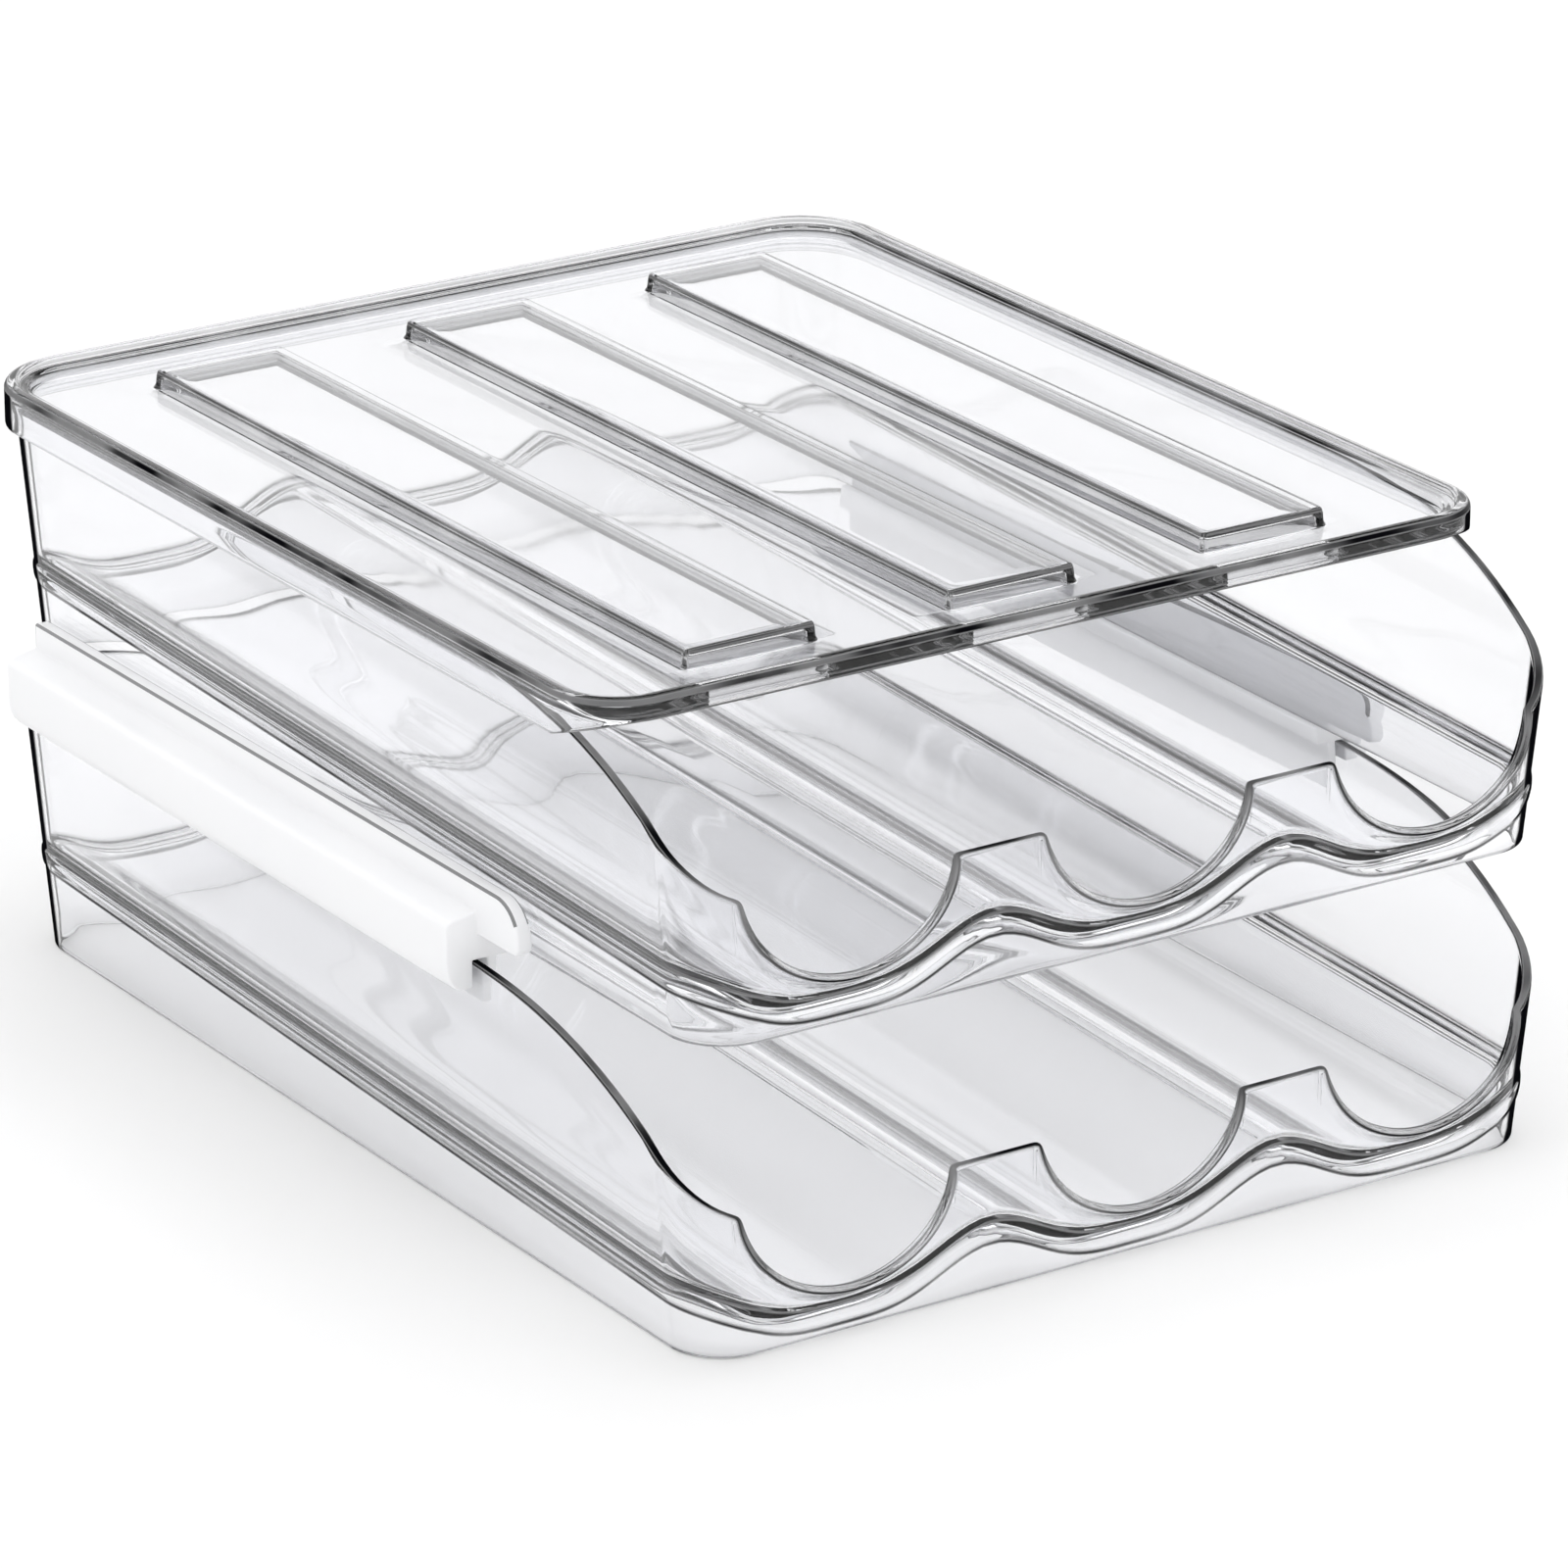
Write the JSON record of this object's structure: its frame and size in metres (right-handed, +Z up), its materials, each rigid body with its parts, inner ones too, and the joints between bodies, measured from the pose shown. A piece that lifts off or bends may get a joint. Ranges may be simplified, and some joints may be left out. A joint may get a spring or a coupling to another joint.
{
  "type": "egg holder tray",
  "caption": "Clear stacking egg holder for a refrigerator: sloped rolling lanes with scooped fronts, a lid, and white side brackets that join the tiers.",
  "frame": {"origin": "middle of the footprint, on the surface the lower bin stands on", "axes": "+Z up, -Y towards the open scooped front, +X to the right seen from the front"},
  "size_m": [0.223, 0.2731, 0.1264],
  "materials": {
    "clear_plastic": "clear polished PET, almost colourless",
    "white_plastic": "smooth white ABS, satin gloss"
  },
  "bodies": {
    "lower_tray": {"lower_tray": "clear_plastic"},
    "left_bracket": {"left_bracket": "white_plastic"},
    "right_bracket": {"right_bracket": "white_plastic"},
    "upper_tray": {"upper_tray": "clear_plastic"},
    "lid": {"lid": "clear_plastic"}
  },
  "joints": [
    {"name": "left_bracket_slide", "type": "slide", "parent": "lower_tray", "child": "left_bracket", "axis": [0, -1, 0], "range_m": [0, 0.165]},
    {"name": "right_bracket_slide", "type": "slide", "parent": "lower_tray", "child": "right_bracket", "axis": [0, -1, 0], "range_m": [0, 0.165]},
    {"name": "upper_tray_lift", "type": "slide", "parent": "lower_tray", "child": "upper_tray", "axis": [0, 0, 1], "range_m": [0, 0.08]},
    {"name": "lid_lift", "type": "slide", "parent": "upper_tray", "child": "lid", "axis": [0, 0, 1], "range_m": [0, 0.06]}
  ]
}
